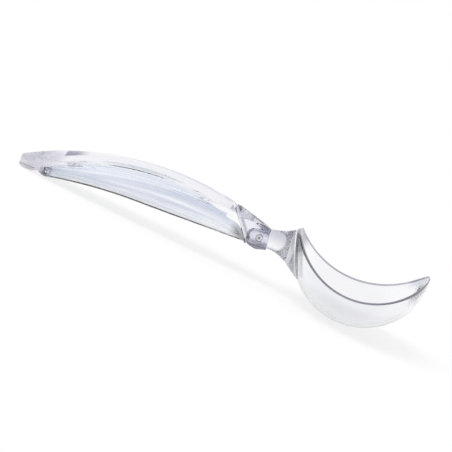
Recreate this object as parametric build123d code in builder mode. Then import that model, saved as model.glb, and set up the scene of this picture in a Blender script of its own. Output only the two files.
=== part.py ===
from build123d import *

import os
from math import asin, atan2, cos, hypot, radians, sin, sqrt, tan

# A clear moulded ice cream scoop, in millimetres. A thin bowl is cemented to a flared stem, whose shank is
# pinned into a solid nose. The nose is cemented to a hollow grip of two shells, an arched crown and a
# boat-shaped hull.
# It lies as on a table: the bowl's belly and the hull's tail end touch z = 0, and +X is the front lip.
# In the scoop's own side view, values named back are measured from the back of the bowl towards the tail,
# and values named height or drop from the level of the bowl's centre.

# Bowl
bowl_radius = 31.0
bowl_wall = 1.8
rim_height = 0.9
rim_dip = 15.0
lip_thickness = 0.6
lip_taper_angle = 30.0

# Stem, with a flare that spreads further below its axis than above, and a domed shank for the nose
stem_sink = 4.15
stem_pitch = 5.0
waist_radius = 4.45
flare_radius = 21.5
underflare_radius = 13.4
flare_angle = 38.7
flare_stations = 6
shank_radius = 3.2
shank_length = 10.0

# Cross pin through the nose and the shank
pin_radius = 1.5
pin_inset = 4.0
pin_recess = 0.3
pin_chamfer = 0.3

# Nose, cemented to the crown's front edge along a slightly bowed joint
nose_back = 10.3
nose_half_width = 4.9
nose_joint_back = 30.5
nose_joint_bow = 0.6
heel_back = 14.5
heel_drop = 13.8
heel_radius = 3.0
heel_bevel = 2.2

# Grip crown
tail_back = 123.3
ridge_radius = 137.0
ridge_back = 58.5
ridge_height = 5.0
grip_half_width = 10.2
arch_margin = 1.3
widest_back = 74.0
tail_corner_radius = 6.0
crown_edge_radius = 0.9
crown_tip_thickness = 1.0
tongue_thickness = 4.7
tongue_length = 7.0
tongue_step = 0.25
tongue_root_gap = 0.3

# Parting line between crown and hull: a long arc, set from the crown's top, that turns down at the front
parting_radius = 161.5
parting_lead = 5.5
crown_side = 1.61
hull_front_back = 19.8
hull_front_radius = 9.5

# Grip hull
hull_drop = 12.6
hull_flat_back = 69.0
hull_tail_radius = 203.0
hull_edge_radius = 5.0
hull_corner_margin = 0.5
hull_wall = 1.6
hull_reveal = 0.4

# Hollow of the grip, under a ceiling arc that meets the parting line near both ends, and the hull's rail
hollow_tail_wall = 3.5
ceiling_radius = 102.0
ceiling_back = 61.0
ceiling_height = 0.9
pocket_inset = 2.6
pocket_front_back = 31.0
pocket_edge_radius = 2.0
rail_height = 1.2
rail_thickness = 0.8

# Clearances
seat_gap = 0.1
fit_clearance = 0.15
cut_overrun = 4.0

# Derived sizes of the bowl's rim and front lip
bowl_inner_radius = bowl_radius - bowl_wall
rim_half_chord = sqrt(bowl_inner_radius**2 - rim_height**2)
lip_reach = bowl_inner_radius + lip_thickness
lip_shift = (bowl_radius**2 - lip_reach**2) / (2 * (lip_reach - bowl_radius * cos(radians(lip_taper_angle))))
lip_radius = lip_reach + lip_shift

# Derived sizes of the grip's outline from above and of its arcs in side view
side_span = widest_back - nose_back
side_sink = grip_half_width - nose_half_width
side_radius = (side_span**2 + side_sink**2) / (2 * side_sink)
arch_radius = grip_half_width + arch_margin
arch_sag = arch_radius - sqrt(arch_radius**2 - grip_half_width**2)
parting_back = ridge_back - parting_lead
parting_drop = arch_sag + crown_side - ridge_height
ridge_centre_height = ridge_height - ridge_radius
tail_top_height = ridge_centre_height + sqrt(ridge_radius**2 - (tail_back - ridge_back) ** 2)
nose_top_height = ridge_centre_height + sqrt(ridge_radius**2 - (ridge_back - nose_back) ** 2)
stem_drop = stem_sink - nose_top_height
parting_centre_height = -parting_drop - parting_radius
tongue_root_back = tail_back - tongue_length
tongue_root_height = parting_centre_height + sqrt(parting_radius**2 - (tongue_root_back - parting_back) ** 2)
tongue_drop = max(tongue_thickness - tail_top_height, tongue_step - tongue_root_height)
hull_tail_back = tongue_root_back - tongue_root_gap
hollow_tail_back = hull_tail_back - hollow_tail_wall
front_centre_back = hull_front_back + hull_front_radius
front_centre_height = parting_centre_height + sqrt(
    (parting_radius - hull_front_radius) ** 2 - (parting_back - front_centre_back) ** 2
)
hull_tail_centre_height = -hull_drop - hull_tail_radius
hull_corner_radius = hull_edge_radius + hull_corner_margin
hollow_inset = hull_reveal + hull_wall


def arc_height(back, centre_back, centre_height, radius):
    """Height of one of the side view's long arcs, at a distance behind the bowl."""
    return centre_height + sqrt(radius**2 - (back - centre_back) ** 2)


def half_width(back, inset):
    """Half the grip's width seen from above, less an inset, at a distance behind the bowl."""
    return grip_half_width - side_radius + sqrt((side_radius - inset) ** 2 - (back - widest_back) ** 2)


def resting_tilt(back, height, radius):
    """Tilt at which a flat surface touches the bowl and a round edge of the grip, given by its centre."""
    reach = bowl_radius + back
    return asin((bowl_radius - radius) / hypot(reach, height)) - atan2(-height, reach)


# Resting attitude: on the bowl and on the rounded tail end of the hull or the tongue, the lower of the two
tail_round_back = hull_tail_back - hull_edge_radius
tail_round_height = hull_edge_radius + arc_height(
    tail_round_back, hull_flat_back, hull_tail_centre_height, hull_tail_radius
)
rest_tilt = max(
    resting_tilt(tail_round_back, tail_round_height, hull_edge_radius),
    resting_tilt(tail_back - crown_edge_radius, crown_edge_radius - tongue_drop, crown_edge_radius),
)
tail_reach = (bowl_radius + tail_back) * cos(rest_tilt) + tail_top_height * sin(rest_tilt)
lip_front_reach = lip_radius - lip_shift * cos(rest_tilt)
bowl_centre = Vector((tail_reach - lip_front_reach) / 2, 0, bowl_radius)

# Working planes: the bowl's side view, then the grip's side view, view from above and cross section, with
# their origin at the back of the bowl, and the stem's own side view
along = Vector(cos(rest_tilt), 0, sin(rest_tilt))
upward = Vector(-sin(rest_tilt), 0, cos(rest_tilt))
bowl_back = bowl_centre - along * bowl_radius
bowl_plane = Plane(origin=bowl_centre, x_dir=along, z_dir=(0, -1, 0))
side_plane = Plane(origin=bowl_back, x_dir=along, z_dir=(0, -1, 0))
top_plane = Plane(origin=bowl_back, x_dir=along, z_dir=upward)
cross_plane = Plane(origin=bowl_back, x_dir=(0, 1, 0), z_dir=along)
ridge_plane = Plane(
    origin=side_plane.from_local_coords((-ridge_back, ridge_centre_height, 0)), x_dir=along, z_dir=(0, -1, 0)
)
ceiling_plane = Plane(
    origin=side_plane.from_local_coords((-ceiling_back, ceiling_height - ceiling_radius, 0)),
    x_dir=along,
    z_dir=(0, -1, 0),
)
stem_angle = rest_tilt + radians(stem_pitch)
stem_plane = Plane(
    origin=side_plane.from_local_coords((-nose_back, -stem_drop, 0)),
    x_dir=(cos(stem_angle), 0, sin(stem_angle)),
    z_dir=(0, -1, 0),
)
stem_axis = Axis(stem_plane.origin, stem_plane.x_dir)
lip_centre = bowl_plane.from_local_coords((-lip_shift, 0, 0))

# Lengths that reach past the whole grip in a cut
past_tail = tail_back + cut_overrun
past_side = grip_half_width + cut_overrun
past_top = ridge_height + cut_overrun

# Length of the flare along the stem's axis, from the nose's front face to well inside the bowl's sphere
flare_length = nose_back + bowl_radius / 3


def flare_reach(run, radius):
    """Distance of the flare's contour from the stem's axis: an arc from the waist, then a straight run."""
    arc_run = min(run, radius * sin(radians(flare_angle)))
    arc_rise = radius - sqrt(radius**2 - arc_run**2)
    return waist_radius + arc_rise + (run - arc_run) * tan(radians(flare_angle))


def grip_outline(front_back, end_back, inset, end_radius):
    """Outline of the grip from above: two long arcs, square at the nose, rounded at the tail."""
    front = half_width(front_back, inset)
    widest = half_width(widest_back, inset)
    end = half_width(end_back, inset)
    with BuildSketch(top_plane) as outline:
        with BuildLine():
            ThreePointArc((-front_back, front), (-widest_back, widest), (-end_back, end))
            Line((-end_back, end), (-end_back, -end))
            ThreePointArc((-end_back, -end), (-widest_back, -widest), (-front_back, -front))
            Line((-front_back, -front), (-front_back, front))
        make_face()
        fillet(outline.vertices().group_by(Axis.X)[0], min(end_radius, end - fit_clearance))
    return outline.sketch


def parting_line(gap, stop_height):
    """Points of the parting line, lowered by a gap: tail, top, turn, middle of the turn and its low end."""
    radius = parting_radius - gap
    turn_radius = hull_front_radius - gap
    turn_angle = asin((parting_back - front_centre_back) / (parting_radius - hull_front_radius))
    stop_angle = asin((stop_height - front_centre_height) / turn_radius)
    middle_angle = (radians(90) - turn_angle + stop_angle) / 2
    tail = (-past_tail, arc_height(past_tail, parting_back, parting_centre_height, radius))
    top = (-parting_back, parting_centre_height + radius)
    turn = (-parting_back + radius * sin(turn_angle), parting_centre_height + radius * cos(turn_angle))
    middle = (
        -front_centre_back + turn_radius * cos(middle_angle),
        front_centre_height + turn_radius * sin(middle_angle),
    )
    stop = (
        -front_centre_back + turn_radius * cos(stop_angle),
        front_centre_height + turn_radius * sin(stop_angle),
    )
    return tail, top, turn, middle, stop


def nose_joint(gap):
    """Points of the joint of crown and nose, moved forward by a gap: top, middle of its bow, low end."""
    stop = parting_line(0, -hull_drop)[-1]
    top = (gap - nose_joint_back, arc_height(nose_joint_back, ridge_back, ridge_centre_height, ridge_radius))
    low = (gap + stop[0] + crown_tip_thickness, stop[1])
    run = (low[0] - top[0], low[1] - top[1])
    length = hypot(run[0], run[1])
    middle = (
        (top[0] + low[0]) / 2 - nose_joint_bow * run[1] / length,
        (top[1] + low[1]) / 2 + nose_joint_bow * run[0] / length,
    )
    return top, middle, low


def below_parting(gap):
    """Side view of all that lies under the parting line."""
    tail, top, turn, middle, stop = parting_line(gap, -hull_drop)
    with BuildSketch(side_plane) as region:
        with BuildLine():
            ThreePointArc(tail, top, turn)
            ThreePointArc(turn, middle, stop)
            Polyline(stop, (stop[0], -bowl_radius), (-past_tail, -bowl_radius), tail)
        make_face()
    return region.sketch


def above_hull_floor(raise_by):
    """Side view of all that lies over the hull's underside: flat in front, a long arc down to the tail."""
    radius = hull_tail_radius + raise_by
    middle_back = (hull_flat_back + past_tail) / 2
    front = (-nose_back, raise_by - hull_drop)
    flat_end = (-hull_flat_back, raise_by - hull_drop)
    middle = (-middle_back, arc_height(middle_back, hull_flat_back, hull_tail_centre_height, radius))
    tail = (-past_tail, arc_height(past_tail, hull_flat_back, hull_tail_centre_height, radius))
    with BuildSketch(side_plane) as region:
        with BuildLine():
            Line(front, flat_end)
            ThreePointArc(flat_end, middle, tail)
            Polyline(tail, (-past_tail, past_top), (-nose_back, past_top), front)
        make_face()
    return region.sketch


def shank_profile(clearance):
    """Half section of the shank, which has a domed end, widened all round by a clearance."""
    radius = shank_radius + clearance
    dome_centre = shank_radius - shank_length
    with BuildSketch(stem_plane) as half_section:
        with BuildLine():
            CenterArc((dome_centre, 0), radius, 90, 90)
            Polyline(
                (dome_centre, radius), (2 * seat_gap, radius), (2 * seat_gap, 0), (dome_centre - radius, 0)
            )
        make_face()
    return half_section.sketch


def is_floor_edge(edge):
    """True for an edge that runs round the underside of a boat form, but not across it."""
    place = side_plane.to_local_coords(edge.center())
    low = place.Y < -hull_drop + hull_wall + seat_gap
    across = edge.geom_type == GeomType.LINE and abs(place.Z) < seat_gap
    return low and not (across and -place.X < hull_flat_back + cut_overrun)


def is_tongue_edge(edge):
    """True for an edge round the tongue's flat underside, but not the one at its root."""
    place = side_plane.to_local_coords(edge.center())
    low = abs(place.Y + tongue_drop) < seat_gap
    return low and not (abs(place.X + tongue_root_back) < seat_gap and abs(place.Z) < seat_gap)


def boat_form(front_back, end_back, inset, raise_by):
    """The hull's form as an upright block with a rounded underside, drawn in by an inset."""
    with BuildPart() as form:
        extrude(grip_outline(front_back, end_back, inset, hull_corner_radius), bowl_radius, both=True)
        extrude(above_hull_floor(raise_by), past_side, both=True, mode=Mode.INTERSECT)
        fillet(form.edges().filter_by(is_floor_edge), hull_edge_radius - raise_by)
    return form.part


# Bowl: a spherical shell with a saddle-shaped rim, its front lip thinned from outside by a larger sphere
with BuildPart() as bowl:
    with Locations(bowl_centre):
        Sphere(bowl_radius)
    with Locations(lip_centre):
        Sphere(lip_radius, mode=Mode.INTERSECT)
    with Locations(bowl_centre):
        Sphere(bowl_inner_radius, mode=Mode.SUBTRACT)
    with BuildSketch(bowl_plane):
        with BuildLine():
            ThreePointArc((-rim_half_chord, rim_height), (0, -rim_dip), (rim_half_chord, rim_height))
            Polyline(
                (rim_half_chord, rim_height),
                (bowl_radius + cut_overrun, rim_height),
                (bowl_radius + cut_overrun, bowl_radius + cut_overrun),
                (-bowl_radius - cut_overrun, bowl_radius + cut_overrun),
                (-bowl_radius - cut_overrun, rim_height),
                (-rim_half_chord, rim_height),
            )
        make_face()
    extrude(amount=bowl_radius + cut_overrun, both=True, mode=Mode.SUBTRACT)

# Stem: a flare lofted through circles and hollowed to fit the bowl, and a turned shank with the pin's hole
with BuildPart() as stem:
    for station in range(flare_stations):
        run = flare_length * station / (flare_stations - 1)
        high = flare_reach(run, flare_radius)
        low = flare_reach(run, underflare_radius)
        centre = stem_plane.from_local_coords((seat_gap + run, (high - low) / 2, 0))
        with BuildSketch(Plane(origin=centre, x_dir=(0, 1, 0), z_dir=stem_plane.x_dir)):
            Circle((high + low) / 2)
    loft()
    revolve(shank_profile(0), axis=stem_axis)
    with Locations(bowl_centre):
        Sphere(bowl_radius + seat_gap, mode=Mode.SUBTRACT)
    with BuildSketch(stem_plane):
        with Locations((-pin_inset, 0)):
            Circle(pin_radius + fit_clearance)
    extrude(amount=past_side, both=True, mode=Mode.SUBTRACT)

# Cross pin: its ends lie just inside the nose's two sides
with BuildPart() as cross_pin:
    with BuildSketch(stem_plane):
        with Locations((-pin_inset, 0)):
            Circle(pin_radius)
    extrude(amount=half_width(nose_back + pin_inset, pin_recess), both=True)
    chamfer(cross_pin.edges().filter_by(GeomType.CIRCLE), pin_chamfer)

# Hollow under the crown's arch: a crescent in side view, with rounded upper edges
with BuildPart() as crown_pocket:
    extrude(
        grip_outline(pocket_front_back, hollow_tail_back, pocket_inset, hull_corner_radius),
        bowl_radius,
        both=True,
    )
    with Locations(ceiling_plane):
        Cylinder(ceiling_radius, 2 * past_side, mode=Mode.INTERSECT)
    fillet(crown_pocket.faces().filter_by(GeomType.CYLINDER).sort_by(Axis.Z)[-1].edges(), pocket_edge_radius)

# Rebate in the crown's underside for the hull's rail
with BuildPart() as crown_rebate:
    extrude(
        grip_outline(
            pocket_front_back - fit_clearance,
            hollow_tail_back + rail_thickness + fit_clearance,
            hollow_inset - rail_thickness - fit_clearance,
            hull_corner_radius + rail_thickness,
        ),
        bowl_radius,
        both=True,
    )
    extrude(below_parting(-rail_height - fit_clearance), past_side, both=True, mode=Mode.INTERSECT)

# Wedges that bevel both lower edges of the nose and of the crown's tip
with BuildPart() as heel_bevels:
    bevel_width = half_width(hull_front_back, 0)
    with BuildSketch(cross_plane.offset(-nose_joint_back)):
        with BuildLine():
            Polyline(
                (bevel_width + cut_overrun, heel_bevel + cut_overrun - hull_drop),
                (bevel_width - heel_bevel - cut_overrun, -hull_drop - cut_overrun),
                (bevel_width + cut_overrun, -hull_drop - cut_overrun),
                close=True,
            )
        make_face()
        mirror(about=Plane.YZ)
    extrude(amount=nose_joint_back - nose_back + cut_overrun)

# Nose: a solid block that takes the shank and the pin, arched like the crown, with bevelled lower edges
with BuildPart() as nose:
    joint_top, joint_middle, joint_low = nose_joint(seat_gap)
    foot = side_plane.to_local_coords(stem_plane.from_local_coords((0, -waist_radius, 0)))
    head = side_plane.to_local_coords(stem_plane.from_local_coords((0, past_top + stem_drop, 0)))
    with BuildSketch(side_plane):
        with BuildLine():
            ThreePointArc(joint_top, joint_middle, joint_low)
            FilletPolyline(joint_low, (-heel_back, -heel_drop), (foot.X, foot.Y), radius=heel_radius)
            Polyline((foot.X, foot.Y), (head.X, head.Y), (joint_top[0], past_top), joint_top)
        make_face()
    extrude(amount=past_side, both=True)
    extrude(
        grip_outline(nose_back - cut_overrun, tail_back, 0, tail_corner_radius),
        bowl_radius,
        both=True,
        mode=Mode.INTERSECT,
    )
    with Locations(ridge_plane):
        Torus(ridge_radius - arch_radius, arch_radius, mode=Mode.INTERSECT)
    extrude(below_parting(0), past_side, both=True, mode=Mode.SUBTRACT)
    add(heel_bevels.part, mode=Mode.SUBTRACT)
    fillet(nose.faces().filter_by(GeomType.TORUS).edges(), crown_edge_radius)
    revolve(shank_profile(fit_clearance), axis=stem_axis, mode=Mode.SUBTRACT)
    with BuildSketch(stem_plane):
        with Locations((-pin_inset, 0)):
            Circle(pin_radius + fit_clearance)
    extrude(amount=past_side, both=True, mode=Mode.SUBTRACT)

# Grip crown: an arched upper shell that ends in a solid tongue at the tail, wraps the hull's front end and
# clears the shank's tip
with BuildPart() as grip_crown:
    tail, top, turn, middle, stop = parting_line(0, -hull_drop)
    tongue_root = (-tongue_root_back, tongue_root_height)
    joint_top, joint_middle, joint_low = nose_joint(0)
    with BuildSketch(side_plane):
        with BuildLine():
            Polyline((-past_tail, -tongue_drop), (-tongue_root_back, -tongue_drop), tongue_root)
            ThreePointArc(tongue_root, top, turn)
            ThreePointArc(turn, middle, stop)
            Line(stop, joint_low)
            ThreePointArc(joint_low, joint_middle, joint_top)
            Polyline(
                joint_top,
                (joint_top[0], past_top),
                (-past_tail, past_top),
                (-past_tail, -tongue_drop),
            )
        make_face()
    extrude(amount=past_side, both=True)
    extrude(
        grip_outline(nose_back - cut_overrun, tail_back, 0, tail_corner_radius),
        bowl_radius,
        both=True,
        mode=Mode.INTERSECT,
    )
    with Locations(ridge_plane):
        Torus(ridge_radius - arch_radius, arch_radius, mode=Mode.INTERSECT)
    add(heel_bevels.part, mode=Mode.SUBTRACT)
    fillet(grip_crown.faces().filter_by(GeomType.TORUS).edges(), crown_edge_radius)
    fillet(grip_crown.edges().filter_by(is_tongue_edge), crown_edge_radius)
    add(crown_pocket.part, mode=Mode.SUBTRACT)
    add(crown_rebate.part, mode=Mode.SUBTRACT)
    revolve(shank_profile(fit_clearance), axis=stem_axis, mode=Mode.SUBTRACT)

# Hollow of the hull: open above, closed in front by a wall that follows the parting line's turn
hollow_turn_radius = hull_front_radius - hull_wall
with BuildPart() as hull_hollow:
    add(boat_form(hull_front_back, hollow_tail_back, hollow_inset, hull_wall))
    with BuildSketch(side_plane):
        with BuildLine():
            CenterArc((-front_centre_back, front_centre_height), hollow_turn_radius, 0, 90)
            Polyline(
                (-front_centre_back, front_centre_height + hollow_turn_radius),
                (-front_centre_back, past_top),
                (-past_tail, past_top),
                (-past_tail, -bowl_radius),
                (-front_centre_back + hollow_turn_radius, -bowl_radius),
                (-front_centre_back + hollow_turn_radius, front_centre_height),
            )
        make_face()
    extrude(amount=past_side, both=True, mode=Mode.INTERSECT)

# Rail along the hull's upper edge, standing up into the crown's rebate
with BuildPart() as hull_rail:
    extrude(
        grip_outline(
            pocket_front_back,
            hollow_tail_back + rail_thickness,
            hollow_inset - rail_thickness,
            hull_corner_radius + rail_thickness,
        ),
        bowl_radius,
        both=True,
    )
    extrude(below_parting(-rail_height), past_side, both=True, mode=Mode.INTERSECT)
    extrude(below_parting(hull_wall), past_side, both=True, mode=Mode.SUBTRACT)

# Grip hull: a boat-shaped lower shell that closes the hollow and clears the shank's tip
with BuildPart() as grip_hull:
    add(boat_form(hull_front_back - hull_wall, hull_tail_back, hull_reveal, 0))
    extrude(below_parting(seat_gap), past_side, both=True, mode=Mode.INTERSECT)
    add(hull_rail.part)
    add(hull_hollow.part, mode=Mode.SUBTRACT)
    revolve(shank_profile(fit_clearance), axis=stem_axis, mode=Mode.SUBTRACT)

os.makedirs("parts", exist_ok=True)
pieces = {
    "bowl": bowl,
    "stem": stem,
    "cross_pin": cross_pin,
    "nose": nose,
    "grip_crown": grip_crown,
    "grip_hull": grip_hull,
}
for name, piece in pieces.items():
    piece.part.label = name
    export_step(piece.part, f"parts/{name}.step")
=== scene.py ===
import bpy
import numpy as np
from mathutils import Matrix, Vector


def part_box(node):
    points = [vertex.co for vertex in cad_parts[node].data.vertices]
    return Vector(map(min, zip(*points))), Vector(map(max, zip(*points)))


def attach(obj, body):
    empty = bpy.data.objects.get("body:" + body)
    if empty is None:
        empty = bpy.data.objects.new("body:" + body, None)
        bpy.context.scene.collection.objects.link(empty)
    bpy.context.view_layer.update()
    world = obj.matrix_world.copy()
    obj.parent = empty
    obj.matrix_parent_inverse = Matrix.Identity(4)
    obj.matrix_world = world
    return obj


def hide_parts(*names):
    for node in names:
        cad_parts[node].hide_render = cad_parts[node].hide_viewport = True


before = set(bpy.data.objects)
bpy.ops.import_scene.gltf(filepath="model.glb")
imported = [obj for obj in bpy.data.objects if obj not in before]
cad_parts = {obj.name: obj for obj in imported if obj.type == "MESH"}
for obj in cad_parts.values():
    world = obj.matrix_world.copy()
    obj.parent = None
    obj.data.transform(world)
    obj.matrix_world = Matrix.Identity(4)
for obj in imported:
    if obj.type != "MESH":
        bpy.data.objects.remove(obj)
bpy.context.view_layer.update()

# Bowl: a thin spherical cup of clear plastic, injection moulded, polished and cemented onto the stem.
# Its rim dips on both sides like a saddle and is fully rounded, and the front lip thins towards its edge.
# Painted shade makes the rim grey-lavender and the rear corner greyer than the wall; wear frosts the lip's
# edge, greyed partly by painted shade.
bowl_radius = 0.0310
bowl_wall = 0.0018
rim_height = 0.0009
rim_dip = 0.0150
lip_thickness = 0.0006
lip_taper = np.radians(30)
lip_blend = 0.0004
rest_tilt = np.radians(5.685092)
least_fall = 0.2
most_fall = 2.4
fall_halvings = 40
bowl_columns = 360
wall_rows = 70
rim_rows = 17
row_crowding = 0.8

bowl_low, bowl_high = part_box("bowl")
inner_radius = bowl_radius - bowl_wall
lip_reach = inner_radius + lip_thickness
lip_shift = (bowl_radius**2 - lip_reach**2) / (2 * (lip_reach - bowl_radius * np.cos(lip_taper)))
lip_radius = lip_reach + lip_shift
rim_chord = np.sqrt(inner_radius**2 - rim_height**2)
rim_sag = rim_height + rim_dip
rim_radius = (rim_chord**2 + rim_sag**2) / (2 * rim_sag)
bowl_x = bowl_high[0] - lip_radius + lip_shift * np.cos(rest_tilt)
bowl_z = bowl_low[2] + bowl_radius
bowl_centre = np.array((bowl_x, 0, bowl_z))
own_length = (np.cos(rest_tilt), 0, np.sin(rest_tilt))
own_height = (-np.sin(rest_tilt), 0, np.cos(rest_tilt))
own_axes = np.array((own_length, (0, 1, 0), own_height))


def direction(fall, turn):
    """Unit vectors at an angle from straight down and a turn about the upright, in the bowl's own axes."""
    level = np.sin(fall)
    return np.stack((level * np.cos(turn), level * np.sin(turn), -np.cos(fall) + 0 * turn), axis=-1)


def inside(way):
    """Distance from the bowl's centre to its inner sphere."""
    return np.full(way.shape[:-1], inner_radius)


def outside(way):
    """Distance to the outer wall: the smaller of the sphere and the lip's larger sphere, softly blended."""
    lean = -lip_shift * way[..., 0]
    lip = lean + np.sqrt(lean**2 - lip_shift**2 + lip_radius**2)
    gap = np.abs(bowl_radius - lip)
    near = np.maximum(lip_blend - gap, 0) ** 2 / (4 * lip_blend)
    return np.minimum(bowl_radius, lip) - near


def rim_fall(wall, turn):
    """Angle from straight down at which a wall meets the saddle arc, found by halving the interval."""
    low = np.full(turn.shape, least_fall)
    high = np.full(turn.shape, most_fall)
    for _ in range(fall_halvings):
        middle = (low + high) / 2
        point = direction(middle, turn) * wall(direction(middle, turn))[..., None]
        arc = rim_radius - rim_dip - np.sqrt(np.maximum(rim_radius**2 - point[..., 0] ** 2, 0))
        saddle = np.where(np.abs(point[..., 0]) < rim_chord, arc, rim_height)
        above = point[..., 2] > saddle
        high = np.where(above, middle, high)
        low = np.where(above, low, middle)
    return low


def lay_rings(name, rings, first_pole, last_pole):
    """A closed mesh of rings, each joined to the next, with a fan to a pole at both ends."""
    rows, columns = rings.shape[:2]
    points = np.concatenate((rings.reshape(-1, 3), first_pole[None], last_pole[None]))
    index = np.arange(rows * columns).reshape(rows, columns)
    after = np.roll(index, -1, axis=1)
    quads = np.stack((index[:-1], index[1:], after[1:], after[:-1]), axis=-1).reshape(-1, 4)
    first = np.stack((index[0], after[0], np.full(columns, rows * columns)), axis=-1)
    last = np.stack((after[-1], index[-1], np.full(columns, rows * columns + 1)), axis=-1)
    mesh = bpy.data.meshes.new(name)
    mesh.from_pydata(points.tolist(), [], quads.tolist() + first.tolist() + last.tolist())
    mesh.validate()
    mesh.shade_smooth()
    piece = bpy.data.objects.new(name, mesh)
    bpy.context.scene.collection.objects.link(piece)
    return piece


# The walls stop half their thickness short of the saddle, and a half circle joins them as the rim.
turn = np.linspace(0, 2 * np.pi, bowl_columns, endpoint=False)
inner_fall = rim_fall(inside, turn)
outer_fall = rim_fall(outside, turn)
rim_way = direction((inner_fall + outer_fall) / 2, turn)
wall_here = outside(rim_way) - inner_radius
inner_fall = inner_fall - wall_here / bowl_radius / 2
outer_fall = outer_fall - wall_here / bowl_radius / 2
share = np.linspace(0, 1, wall_rows + 1)[1:, None] ** row_crowding
inner_way = direction(share * inner_fall, turn[None])
outer_way = direction(share[::-1] * outer_fall, turn[None])
inner_rows = inner_way * inside(inner_way)[..., None]
outer_rows = outer_way * outside(outer_way)[..., None]
round_angle = np.linspace(0, np.pi, rim_rows + 2)[1:-1, None, None]
rim_middle = (inner_rows[-1] + outer_rows[0]) / 2
rim_side = (outer_rows[0] - inner_rows[-1]) / 2
rim_rise = direction((inner_fall + outer_fall) / 2 + np.pi / 2, turn) * wall_here[:, None] / 2
rim_rounds = rim_middle - rim_side * np.cos(round_angle) + rim_rise * np.sin(round_angle)
bowl_rings = np.concatenate((inner_rows, rim_rounds, outer_rows)) @ own_axes + bowl_centre
inner_pole = np.array((0, 0, -inner_radius)) @ own_axes + bowl_centre
outer_pole = np.array((0, 0, -bowl_radius)) @ own_axes + bowl_centre
bowl = lay_rings("bowl_cup", bowl_rings, inner_pole, outer_pole)


def clear_plastic(name, tint, tint_density, relief_strength):
    """Clear plastic: a faint body tint, uneven polish with fine scuffs, shallow lengthwise flow lines."""
    refraction = 1.49
    polish_grain = 160
    polish_smooth = 0.01
    polish_dull = 0.06
    scuff_turn = (0.5, 0.2, 0.8)
    scuff_grain = (60, 2200, 2200)
    scuff_start = 0.68
    scuff_full = 0.75
    scuff_dull = 0.12
    flow_grain = (12, 260, 260)
    flow_depth = 0.0003
    material = bpy.data.materials.new(name)
    material.use_nodes = True
    nodes = material.node_tree.nodes
    links = material.node_tree.links
    surface = nodes["Principled BSDF"]
    surface.inputs["Transmission Weight"].default_value = 1
    surface.inputs["IOR"].default_value = refraction
    body = nodes.new("ShaderNodeVolumeAbsorption")
    body.inputs["Color"].default_value = (*tint, 1)
    body.inputs["Density"].default_value = tint_density
    links.new(body.outputs["Volume"], nodes["Material Output"].inputs["Volume"])
    place = nodes.new("ShaderNodeTexCoord")
    polish = nodes.new("ShaderNodeTexNoise")
    polish.inputs["Scale"].default_value = polish_grain
    polish.inputs["Detail"].default_value = 4
    polish_range = nodes.new("ShaderNodeMapRange")
    polish_range.inputs["To Min"].default_value = polish_smooth
    polish_range.inputs["To Max"].default_value = polish_dull
    links.new(place.outputs["Object"], polish.inputs["Vector"])
    links.new(polish.outputs["Fac"], polish_range.inputs["Value"])
    scuff_place = nodes.new("ShaderNodeMapping")
    scuff_place.inputs["Rotation"].default_value = scuff_turn
    scuff_place.inputs["Scale"].default_value = scuff_grain
    scuff = nodes.new("ShaderNodeTexNoise")
    scuff.inputs["Scale"].default_value = 1
    scuff.inputs["Detail"].default_value = 1
    scuff_range = nodes.new("ShaderNodeMapRange")
    scuff_range.inputs["From Min"].default_value = scuff_start
    scuff_range.inputs["From Max"].default_value = scuff_full
    scuff_range.inputs["To Max"].default_value = scuff_dull
    worn = nodes.new("ShaderNodeMath")
    links.new(place.outputs["Object"], scuff_place.inputs["Vector"])
    links.new(scuff_place.outputs["Vector"], scuff.inputs["Vector"])
    links.new(scuff.outputs["Fac"], scuff_range.inputs["Value"])
    links.new(polish_range.outputs["Result"], worn.inputs[0])
    links.new(scuff_range.outputs["Result"], worn.inputs[1])
    links.new(worn.outputs["Value"], surface.inputs["Roughness"])
    stretch = nodes.new("ShaderNodeMapping")
    stretch.name = "stretch"
    stretch.inputs["Rotation"].default_value = (0, rest_tilt, 0)
    stretch.inputs["Scale"].default_value = flow_grain
    flow = nodes.new("ShaderNodeTexNoise")
    flow.name = "flow"
    flow.inputs["Scale"].default_value = 1
    flow.inputs["Detail"].default_value = 3
    relief = nodes.new("ShaderNodeBump")
    relief.inputs["Strength"].default_value = relief_strength
    relief.inputs["Distance"].default_value = flow_depth
    links.new(place.outputs["Object"], stretch.inputs["Vector"])
    links.new(stretch.outputs["Vector"], flow.inputs["Vector"])
    links.new(flow.outputs["Fac"], relief.inputs["Height"])
    links.new(relief.outputs["Normal"], surface.inputs["Normal"])
    return material


def own_place(material, lean=0):
    """Place along the scoop's own length, width and height, or leaned further, from Object coordinates."""
    nodes = material.node_tree.nodes
    turned = nodes.new("ShaderNodeMapping")
    turned.inputs["Rotation"].default_value = (0, rest_tilt + lean, 0)
    material.node_tree.links.new(nodes["Texture Coordinate"].outputs["Object"], turned.inputs["Vector"])
    return turned


def fade(material, value, start, end, first=0, last=1):
    """A soft step of a value, from the first level at the start to the last level at the end."""
    step = material.node_tree.nodes.new("ShaderNodeMapRange")
    step.interpolation_type = "SMOOTHSTEP"
    step.inputs["From Min"].default_value = start
    step.inputs["From Max"].default_value = end
    step.inputs["To Min"].default_value = first
    step.inputs["To Max"].default_value = last
    material.node_tree.links.new(value, step.inputs["Value"])
    return step.outputs["Result"]


def fade_along(material, axis, start, end, first=0, last=1, lean=0):
    """A soft step along one of the scoop's own axes, or of axes that are turned further by a lean."""
    split = material.node_tree.nodes.new("ShaderNodeSeparateXYZ")
    material.node_tree.links.new(own_place(material, lean).outputs["Vector"], split.inputs["Vector"])
    return fade(material, split.outputs[axis], start, end, first, last)


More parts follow.
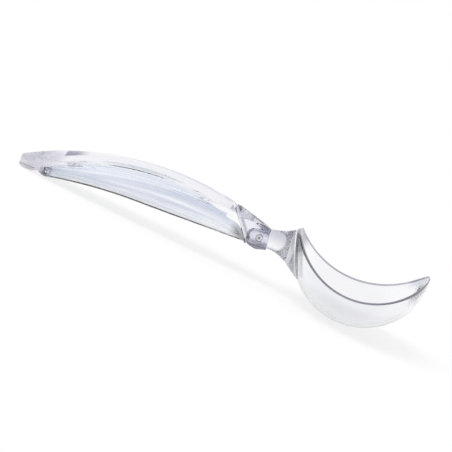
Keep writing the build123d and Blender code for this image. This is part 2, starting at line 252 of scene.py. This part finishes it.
def shade(material, factor, first, last):
    """Colour of the plastic, mixed from two tones, each a colour or the result of another mix."""
    links = material.node_tree.links
    mix = material.node_tree.nodes.new("ShaderNodeMix")
    mix.data_type = "RGBA"
    links.new(factor, mix.inputs["Factor"])
    for socket, tone in ((mix.inputs["A"], first), (mix.inputs["B"], last)):
        if isinstance(tone, tuple):
            socket.default_value = (*tone, 1)
        else:
            links.new(tone, socket)
    links.new(mix.outputs["Result"], material.node_tree.nodes["Principled BSDF"].inputs["Base Color"])
    return mix.outputs["Result"]


def cloud(material, clearness):
    """Lets a value between milky 0 and clear 1 say how much light goes through the plastic."""
    surface = material.node_tree.nodes["Principled BSDF"]
    material.node_tree.links.new(clearness, surface.inputs["Transmission Weight"])


# Tones are placed in the scoop's own axes: along it from the back of the bowl, in height from its centre.
own_bowl = own_axes @ bowl_centre
bowl_back = own_bowl[0] - bowl_radius
bowl_level = own_bowl[2]
rear_shade_start = bowl_back + 0.0030
rear_shade_end = bowl_back + 0.0075
rear_shade_low = bowl_level - 0.0110
rear_shade_high = bowl_level - 0.0050
lip_spread = np.radians(40)
lip_line = 0.0008
frost_depth = 0.0050
frost_full = 0.5
wall_tone = (0.95, 0.95, 0.965)
# The rear corner's grey is painted shade.
rear_painted_shade = (0.46, 0.46, 0.51)
# The frost's grey is worn, milky plastic, partly greyed by painted shade.
frost_and_shade_tone = (0.70, 0.73, 0.79)
# The rim's grey-lavender and the darker line at the lip are painted shade.
rim_painted_shade = (0.34, 0.33, 0.40)
lip_line_painted_shade = (0.15, 0.155, 0.18)
rim_clearness = 0.45
frost_clearness = 0.05
bowl_tint = (0.6, 0.62, 0.68)
bowl_tint_density = 8
bowl_relief = 0.008

# The frost fades with the depth below the rim, the dark line of painted shade ends at twice its own, and
# both fade sideways.
inner_depth = (1 - share) * inner_fall * inner_radius
outer_depth = (1 - share[::-1]) * outer_fall * bowl_radius
rim_depth = np.zeros((rim_rows, bowl_columns))
lip_front = np.clip((np.cos(turn) - np.cos(lip_spread)) / (1 - np.cos(lip_spread)), 0, 1)
line_share = np.clip(2 - outer_depth / lip_line, 0, 1) * np.sqrt(lip_front)
rim_share = np.concatenate((0 * inner_depth, 1 + rim_depth, line_share))
rim_mark = bowl.data.attributes.new("rim", "FLOAT", "POINT")
rim_mark.data.foreach_set("value", np.append(rim_share, (0, 0)))
edge_depth = np.concatenate((inner_depth, rim_depth, outer_depth))
lip_share = np.clip(1 - edge_depth / frost_depth, 0, 1) * lip_front
lip_mark = bowl.data.attributes.new("lip", "FLOAT", "POINT")
lip_mark.data.foreach_set("value", np.append(lip_share, (0, 0)))

bowl_plastic = clear_plastic("clear_bowl", bowl_tint, bowl_tint_density, bowl_relief)
bowl_nodes = bowl_plastic.node_tree.nodes
rim_place = bowl_nodes.new("ShaderNodeAttribute")
rim_place.attribute_name = "rim"
lip_place = bowl_nodes.new("ShaderNodeAttribute")
lip_place.attribute_name = "lip"
# Painted shade greys the upper rear of the wall.
rear_shade_rise = fade_along(bowl_plastic, "Z", rear_shade_low, rear_shade_high)
rear_shade_mix = shade(bowl_plastic, rear_shade_rise, wall_tone, rear_painted_shade)
rear_shade_run = fade_along(bowl_plastic, "X", rear_shade_start, rear_shade_end)
wall_mix = shade(bowl_plastic, rear_shade_run, rear_shade_mix, wall_tone)
# Wear frosts the lip's edge milky, and painted shade greys it.
frost = fade(bowl_plastic, lip_place.outputs["Fac"], 0, frost_full)
frost_and_shade_mix = shade(bowl_plastic, frost, wall_mix, frost_and_shade_tone)
# The rim and the dark line at the lip are painted shade.
rim_shade_mix = shade(bowl_plastic, frost, rim_painted_shade, lip_line_painted_shade)
shade(bowl_plastic, rim_place.outputs["Fac"], frost_and_shade_mix, rim_shade_mix)
rim_haze = fade(bowl_plastic, rim_place.outputs["Fac"], 0, 1, 1, rim_clearness)
lip_haze = fade(bowl_plastic, lip_place.outputs["Fac"], 0, frost_full, 1, frost_clearness)
bowl_haze = bowl_nodes.new("ShaderNodeMath")
bowl_haze.operation = "MINIMUM"
bowl_plastic.node_tree.links.new(rim_haze, bowl_haze.inputs[0])
bowl_plastic.node_tree.links.new(lip_haze, bowl_haze.inputs[1])
cloud(bowl_plastic, bowl_haze.outputs["Value"])
bowl.data.materials.append(bowl_plastic)
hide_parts("bowl")
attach(bowl, "root")

# Stem: a solid neck moulded in clear plastic that flares onto the back of the bowl and is cemented there.
# Its rear end is a shank with a domed tip, pushed into the nose.
# Painted shade greys the neck's upper side and painted highlight pales its lower side and flare; the pale
# line round the foot is milky cement with painted highlight.
stem_shade_low = bowl_level - 0.0100
stem_shade_high = bowl_level - 0.0045
flare_shade_low = bowl_level - 0.0100
flare_shade_high = bowl_level - 0.0082
flare_start = bowl_back - 0.0048
flare_end = bowl_back - 0.0028
shank_end = bowl_back - 0.0106
neck_start = bowl_back - 0.0102
# The pale line round the foot is milky cement with a painted highlight.
foot_line_inner = bowl_radius + 0.0003
foot_line_outer = bowl_radius + 0.0009
# The neck's pale lower side and pale lower flare are painted highlight, its grey upper side painted shade.
neck_low_painted_highlight = (0.99, 0.99, 1.0)
neck_high_painted_shade = (0.57, 0.57, 0.64)
flare_painted_highlight = (0.93, 0.95, 0.99)
shank_tone = (0.96, 0.96, 0.98)
foot_painted_highlight = (0.94, 0.94, 0.96)
foot_clearness = 0.35
stem_tint = (0.55, 0.55, 0.64)
stem_tint_density = 12
stem_relief = 0.01


def reach_from(material, centre, width=0):
    """Distance from a crosswise line through a place in length and height, or with width 1 from a point."""
    level = own_place(material)
    level.inputs["Location"].default_value = (-centre[0], 0, -centre[1])
    level.inputs["Scale"].default_value = (1, width, 1)
    reach = material.node_tree.nodes.new("ShaderNodeVectorMath")
    reach.operation = "LENGTH"
    material.node_tree.links.new(level.outputs["Vector"], reach.inputs[0])
    return reach.outputs["Value"]


def dress(node, material):
    """Gives one of the frame's solids its finish and no other."""
    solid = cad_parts[node]
    solid.data.materials.clear()
    solid.data.materials.append(material)


stem_plastic = clear_plastic("clear_stem", stem_tint, stem_tint_density, stem_relief)
# Painted shade on the neck's upper side, painted highlight on its lower side and lower flare.
neck_light_rise = fade_along(stem_plastic, "Z", stem_shade_low, stem_shade_high)
neck_light_mix = shade(stem_plastic, neck_light_rise, neck_low_painted_highlight, neck_high_painted_shade)
flare_light_rise = fade_along(stem_plastic, "Z", flare_shade_low, flare_shade_high)
flare_light_mix = shade(stem_plastic, flare_light_rise, flare_painted_highlight, neck_light_mix)
flare_light_run = fade_along(stem_plastic, "X", flare_start, flare_end)
neck_and_flare_light_mix = shade(stem_plastic, flare_light_run, neck_light_mix, flare_light_mix)
neck_run = fade_along(stem_plastic, "X", shank_end, neck_start)
stem_mix = shade(stem_plastic, neck_run, shank_tone, neck_and_flare_light_mix)
# A painted highlight along the milky cement round the foot.
foot_reach = reach_from(stem_plastic, own_bowl[[0, 2]], 1)
foot_highlight_rise = fade(stem_plastic, foot_reach, foot_line_inner, foot_line_outer)
shade(stem_plastic, foot_highlight_rise, foot_painted_highlight, stem_mix)
cloud(stem_plastic, fade(stem_plastic, foot_reach, foot_line_inner, foot_line_outer, foot_clearness, 1))
dress("stem", stem_plastic)

# Cross pin: a short rod of clear plastic with chamfered ends, pressed through the nose and the shank.
# It locks the stem in the grip, and each end shows a dark eye of painted shade in a pale, cloudy ring of
# painted highlight.
pin_eye = 0.0005
pin_ring = 0.0007
pin_centre = own_axes @ np.mean(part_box("cross_pin"), axis=0)
# The dark eye is painted shade and the pale ring a painted highlight.
pin_eye_painted_shade = (0.30, 0.30, 0.36)
pin_ring_painted_highlight = (0.97, 0.97, 0.98)
pin_clearness = 0.4
pin_tint = (0.6, 0.6, 0.7)
pin_tint_density = 30
pin_relief = 0.02

pin_plastic = clear_plastic("clear_pin", pin_tint, pin_tint_density, pin_relief)
pin_plastic.node_tree.nodes["Principled BSDF"].inputs["Transmission Weight"].default_value = pin_clearness
pin_round = fade(pin_plastic, reach_from(pin_plastic, pin_centre[[0, 2]]), pin_eye, pin_ring)
shade(pin_plastic, pin_round, pin_eye_painted_shade, pin_ring_painted_highlight)
dress("cross_pin", pin_plastic)

# Nose: a solid moulded block of clear plastic with bevelled lower edges, bored for the stem's shank.
# It is cemented to the front of the crown, and the milky cement along the joint shows as a pale line of
# painted highlight.
# Painted shade deepens its lavender in the bevels, on the brow in front and in the upper rear corner.
nose_shade_low = bowl_level - 0.0122
nose_shade_high = bowl_level - 0.0098
brow_lean = np.radians(-21.3)
brow_start = bowl_back - 0.0190
brow_end = bowl_back - 0.0140
brow_x = bowl_back - 0.0120
brow_z = bowl_level - 0.0039
brow_depth = 0.0035
corner_lean = np.radians(45)
corner_x = bowl_back - 0.0276
corner_z = bowl_level + 0.0016
corner_full_depth = 0.0026
corner_depth = 0.0036
joint_radius = 0.0734
joint_x = bowl_back - 0.0818
joint_z = bowl_level - 0.0503
joint_inner = joint_radius + 0.0003
joint_outer = joint_radius + 0.0008
# The dark bevels, brow and upper rear corner are painted shade.
bevel_painted_shade = (0.20, 0.20, 0.27)
side_tone = (0.90, 0.90, 0.95)
brow_painted_shade = (0.42, 0.42, 0.50)
corner_painted_shade = (0.62, 0.63, 0.76)
# The pale joint line is a painted highlight on milky cement.
joint_painted_highlight = (0.95, 0.95, 0.97)
joint_clearness = 0.5
nose_tint = (0.5, 0.5, 0.66)
nose_tint_density = 10
nose_relief = 0.01


def leaned_height(x, z, lean):
    """Height of a place in axes turned by a lean: its height by the cosine less its length by the sine."""
    return z * np.cos(lean) - x * np.sin(lean)


brow_top = leaned_height(brow_x, brow_z, brow_lean)
corner_top = leaned_height(corner_x, corner_z, corner_lean)
corner_low = corner_top - corner_depth
corner_high = corner_top - corner_full_depth
nose_plastic = clear_plastic("clear_nose", nose_tint, nose_tint_density, nose_relief)
# Painted shade in the bevels, on the brow and in the upper rear corner.
bevel_shade_rise = fade_along(nose_plastic, "Z", nose_shade_low, nose_shade_high)
side_mix = shade(nose_plastic, bevel_shade_rise, bevel_painted_shade, side_tone)
brow_shade_rise = fade_along(nose_plastic, "Z", brow_top - brow_depth, brow_top, lean=brow_lean)
brow_shade_mix = shade(nose_plastic, brow_shade_rise, side_mix, brow_painted_shade)
brow_shade_run = fade_along(nose_plastic, "X", brow_start, brow_end)
front_shade_mix = shade(nose_plastic, brow_shade_run, side_mix, brow_shade_mix)
corner_shade_rise = fade_along(nose_plastic, "Z", corner_low, corner_high, lean=corner_lean)
corner_shade_mix = shade(nose_plastic, corner_shade_rise, front_shade_mix, corner_painted_shade)
# A painted highlight along the milky cement of the joint.
joint_reach = reach_from(nose_plastic, (joint_x, joint_z))
joint_highlight_run = fade(nose_plastic, joint_reach, joint_inner, joint_outer)
shade(nose_plastic, joint_highlight_run, joint_painted_highlight, corner_shade_mix)
cloud(nose_plastic, fade(nose_plastic, joint_reach, joint_inner, joint_outer, joint_clearness, 1))
dress("nose", nose_plastic)

# Grip crown: the arched upper shell of the hollow grip, moulded in clear plastic, with a solid tail tongue.
# A painted highlight makes it palest in the thick arch, and painted bluish shade lies in the thin walls
# under the hollow's ceiling.
# The tongue is lavender and turns cloudy to its tip, and a dark streak of painted shade lies along the
# ridge before it.
ceiling_radius = 0.1020
ceiling_x = bowl_back - 0.0610
ceiling_z = bowl_level + 0.0009 - ceiling_radius
arch_inner = ceiling_radius - 0.0004
arch_outer = ceiling_radius + 0.0004
back_inner = ceiling_radius + 0.0024
back_outer = ceiling_radius + 0.0034
ridge_inner = ceiling_radius + 0.0034
ridge_outer = ceiling_radius + 0.0040
tongue_shade_rear = bowl_back - 0.1090
tongue_shade_front = bowl_back - 0.1030
streak_rear = bowl_back - 0.1050
streak_middle = bowl_back - 0.1010
streak_front = bowl_back - 0.0940
streak_soft = 0.0004
tip_haze_rear = bowl_back - 0.1220
tip_haze_front = bowl_back - 0.1090
# The bluish walls are painted shade and the pale arch a painted highlight.
crown_wall_painted_shade = (0.90, 0.93, 0.975)
arch_painted_highlight = (0.985, 0.988, 0.995)
back_tone = (0.94, 0.93, 0.965)
tongue_tone = (0.76, 0.75, 0.82)
# The ridge's dark streak is painted shade.
streak_painted_shade = (0.14, 0.13, 0.21)
tip_clearness = 0.5
crown_tint = (0.6, 0.6, 0.72)
crown_tint_density = 5
crown_relief = 0.004

crown_plastic = clear_plastic("clear_crown", crown_tint, crown_tint_density, crown_relief)
# Painted highlight in the arch and painted bluish shade in the walls under the ceiling.
ceiling_reach = reach_from(crown_plastic, (ceiling_x, ceiling_z))
arch = fade(crown_plastic, ceiling_reach, arch_inner, arch_outer)
arch_light_mix = shade(crown_plastic, arch, crown_wall_painted_shade, arch_painted_highlight)
back = fade(crown_plastic, ceiling_reach, back_inner, back_outer)
back_mix = shade(crown_plastic, back, arch_light_mix, back_tone)
tongue_run = fade_along(crown_plastic, "X", tongue_shade_rear, tongue_shade_front)
tongue_mix = shade(crown_plastic, tongue_run, tongue_tone, back_mix)
# The ridge's dark streak is painted shade.
streak_shade_fade = fade_along(crown_plastic, "X", streak_middle, streak_front)
streak_shade_mix = shade(crown_plastic, streak_shade_fade, streak_painted_shade, tongue_mix)
streak_shade_edge = fade_along(crown_plastic, "X", streak_rear - streak_soft, streak_rear + streak_soft)
ridge_shade_mix = shade(crown_plastic, streak_shade_edge, tongue_mix, streak_shade_mix)
ridge = fade(crown_plastic, ceiling_reach, ridge_inner, ridge_outer)
shade(crown_plastic, ridge, tongue_mix, ridge_shade_mix)
cloud(crown_plastic, fade_along(crown_plastic, "X", tip_haze_rear, tip_haze_front, tip_clearness, 1))
dress("grip_crown", crown_plastic)

# Grip hull: the boat-shaped lower shell of the grip, moulded in clear plastic and cemented under the crown.
# Long flow lines follow the arc of the parting line and alternate between clearer and bluer plastic.
# Painted shade makes the front wall the greyest, and the thin rear end is cloudy.
hull_front_start = bowl_back - 0.0290
hull_front_end = bowl_back - 0.0205
hull_haze_rear = bowl_back - 0.1124
hull_haze_front = bowl_back - 0.1112
parting_radius = 0.1615
parting_x = bowl_back - 0.0530
parting_z = bowl_level - 0.0028 - parting_radius
flow_rings = 420
flow_blue = 0.42
flow_clear = 0.60
flow_blue_tone = (0.79, 0.815, 0.885)
flow_clear_tone = (0.985, 0.985, 0.995)
# The front wall's grey is painted shade.
hull_front_painted_shade = (0.34, 0.34, 0.36)
hull_end_clearness = 0.55
hull_tint = (0.55, 0.6, 0.68)
hull_tint_density = 20
hull_relief = 0.10

hull_plastic = clear_plastic("clear_hull", hull_tint, hull_tint_density, hull_relief)
hull_nodes = hull_plastic.node_tree.nodes
hull_links = hull_plastic.node_tree.links
flow_run = hull_nodes.new("ShaderNodeSeparateXYZ")
flow_ring = hull_nodes.new("ShaderNodeMath")
flow_ring.operation = "MULTIPLY"
flow_ring.inputs[1].default_value = flow_rings
flow_place = hull_nodes.new("ShaderNodeCombineXYZ")
hull_links.new(hull_nodes["stretch"].outputs["Vector"], flow_run.inputs["Vector"])
hull_links.new(reach_from(hull_plastic, (parting_x, parting_z)), flow_ring.inputs[0])
hull_links.new(flow_run.outputs["X"], flow_place.inputs["X"])
hull_links.new(flow_run.outputs["Y"], flow_place.inputs["Y"])
hull_links.new(flow_ring.outputs["Value"], flow_place.inputs["Z"])
hull_links.new(flow_place.outputs["Vector"], hull_nodes["flow"].inputs["Vector"])
flow_step = fade(hull_plastic, hull_nodes["flow"].outputs["Fac"], flow_blue, flow_clear)
flow_mix = shade(hull_plastic, flow_step, flow_blue_tone, flow_clear_tone)
# Painted shade greys the front wall.
hull_front_shade_run = fade_along(hull_plastic, "X", hull_front_start, hull_front_end)
shade(hull_plastic, hull_front_shade_run, flow_mix, hull_front_painted_shade)
cloud(hull_plastic, fade_along(hull_plastic, "X", hull_haze_rear, hull_haze_front, hull_end_clearness, 1))
dress("grip_hull", hull_plastic)

# Studio floor: a wide pale disc just under the scoop, which takes its soft shadow.
# It glows more and more away from the scoop, so that it ends in the white of the backdrop.
floor_radius = 3.0
floor_sides = 128
floor_place = (0, 0, -0.0002)
floor_tone = (0.9, 0.9, 0.9)
floor_roughness = 0.9
glow_start = 0.10
glow_end = 0.30
glow_least = 0.80

bpy.ops.mesh.primitive_circle_add(
    vertices=floor_sides, radius=floor_radius, fill_type="NGON", location=floor_place
)
floor = bpy.context.object
floor.name = "studio floor"
floor_material = bpy.data.materials.new("studio floor")
floor_material.use_nodes = True
floor_nodes = floor_material.node_tree.nodes
floor_links = floor_material.node_tree.links
floor_surface = floor_nodes["Principled BSDF"]
floor_surface.inputs["Base Color"].default_value = (*floor_tone, 1)
floor_surface.inputs["Roughness"].default_value = floor_roughness
floor_surface.inputs["Specular IOR Level"].default_value = 0
floor_glow = floor_nodes.new("ShaderNodeEmission")
floor_point = floor_nodes.new("ShaderNodeTexCoord")
floor_reach = floor_nodes.new("ShaderNodeVectorMath")
floor_reach.operation = "LENGTH"
floor_links.new(floor_point.outputs["Object"], floor_reach.inputs[0])
floor_mix = floor_nodes.new("ShaderNodeMixShader")
glow_fade = fade(floor_material, floor_reach.outputs["Value"], glow_start, glow_end, glow_least)
floor_links.new(glow_fade, floor_mix.inputs["Fac"])
floor_links.new(floor_surface.outputs["BSDF"], floor_mix.inputs[1])
floor_links.new(floor_glow.outputs["Emission"], floor_mix.inputs[2])
floor_links.new(floor_mix.outputs["Shader"], floor_nodes["Material Output"].inputs["Surface"])
floor.data.materials.append(floor_material)

# Studio world: a backdrop that is white round the horizon and blue-grey overhead.
# Only the camera sees it, straight, mirrored or through the plastic. Even white light fills in the shadows.
backdrop_white_end = 0.40
backdrop_grey_start = 0.75
backdrop_white = (1, 1, 1, 1)
backdrop_grey = (0.46, 0.48, 0.58, 1)
fill_strength = 0.7

world = bpy.data.worlds.new("studio")
bpy.context.scene.world = world
world.use_nodes = True
world_nodes = world.node_tree.nodes
world_links = world.node_tree.links
fill_light = world_nodes["Background"]
fill_light.inputs["Color"].default_value = (1, 1, 1, 1)
fill_light.inputs["Strength"].default_value = fill_strength
backdrop = world_nodes.new("ShaderNodeBackground")
world_place = world_nodes.new("ShaderNodeTexCoord")
world_split = world_nodes.new("ShaderNodeSeparateXYZ")
world_ramp = world_nodes.new("ShaderNodeValToRGB")
world_ramp.color_ramp.elements[0].position = backdrop_white_end
world_ramp.color_ramp.elements[0].color = backdrop_white
world_ramp.color_ramp.elements[1].position = backdrop_grey_start
world_ramp.color_ramp.elements[1].color = backdrop_grey
world_links.new(world_place.outputs["Generated"], world_split.inputs["Vector"])
world_links.new(world_split.outputs["Z"], world_ramp.inputs["Fac"])
world_links.new(world_ramp.outputs["Color"], backdrop.inputs["Color"])
light_path = world_nodes.new("ShaderNodeLightPath")
seen = world_nodes.new("ShaderNodeMath")
seen.operation = "MAXIMUM"
seen_or_camera = world_nodes.new("ShaderNodeMath")
seen_or_camera.operation = "MAXIMUM"
world_links.new(light_path.outputs["Is Glossy Ray"], seen.inputs[0])
world_links.new(light_path.outputs["Is Transmission Ray"], seen.inputs[1])
world_links.new(seen.outputs["Value"], seen_or_camera.inputs[0])
world_links.new(light_path.outputs["Is Camera Ray"], seen_or_camera.inputs[1])
world_mix = world_nodes.new("ShaderNodeMixShader")
world_links.new(seen_or_camera.outputs["Value"], world_mix.inputs["Fac"])
world_links.new(fill_light.outputs["Background"], world_mix.inputs[1])
world_links.new(backdrop.outputs["Background"], world_mix.inputs[2])
world_links.new(world_mix.outputs["Shader"], world_nodes["World Output"].inputs["Surface"])

# Key light: one large round lamp over the camera's left shoulder, aimed at the scoop for a soft shadow.
# The clear plastic doesn't mirror or show the lamp itself.
key_place = Vector((-0.5, -0.5, 1.2))
key_width = 0.9
key_power = 12

key_data = bpy.data.lights.new("key", "AREA")
key_data.shape = "DISK"
key_data.size = key_width
key_data.energy = key_power
key = bpy.data.objects.new("key", key_data)
key.location = key_place
key.visible_glossy = False
key.visible_transmission = False
key.rotation_euler = (-key_place).to_track_quat("-Z", "Y").to_euler()
bpy.context.scene.collection.objects.link(key)

# Camera: it looks at the scoop's near side from a little above, as in the photograph.
# It is rolled, so that the grip runs down from the upper left, and far enough for little perspective.
camera_azimuth = np.radians(1.05)
camera_elevation = np.radians(9.55)
camera_roll = np.radians(26.335)
camera_aim = Vector((0.001964, -0.003573, 0.016233))
camera_distance = 0.9
picture_pixels = 452
pixel_size = 0.4306e-3
picture_width = picture_pixels * pixel_size
sensor_width = 36
clip_near = 0.05
clip_far = 20

camera_data = bpy.data.cameras.new("camera")
camera_data.sensor_width = sensor_width
camera_data.lens = sensor_width * camera_distance / picture_width
camera_data.clip_start = clip_near
camera_data.clip_end = clip_far
camera = bpy.data.objects.new("camera", camera_data)
camera.matrix_world = (
    Matrix.Translation(camera_aim)
    @ Matrix.Rotation(camera_azimuth, 4, "Z")
    @ Matrix.Rotation(np.pi / 2 - camera_elevation, 4, "X")
    @ Matrix.Rotation(camera_roll, 4, "Z")
    @ Matrix.Translation((0, 0, camera_distance))
)
bpy.context.scene.collection.objects.link(camera)
bpy.context.scene.camera = camera
bpy.context.scene.view_settings.view_transform = "Standard"
bpy.context.scene.cycles.transmission_bounces = 40
bpy.context.scene.cycles.max_bounces = 48
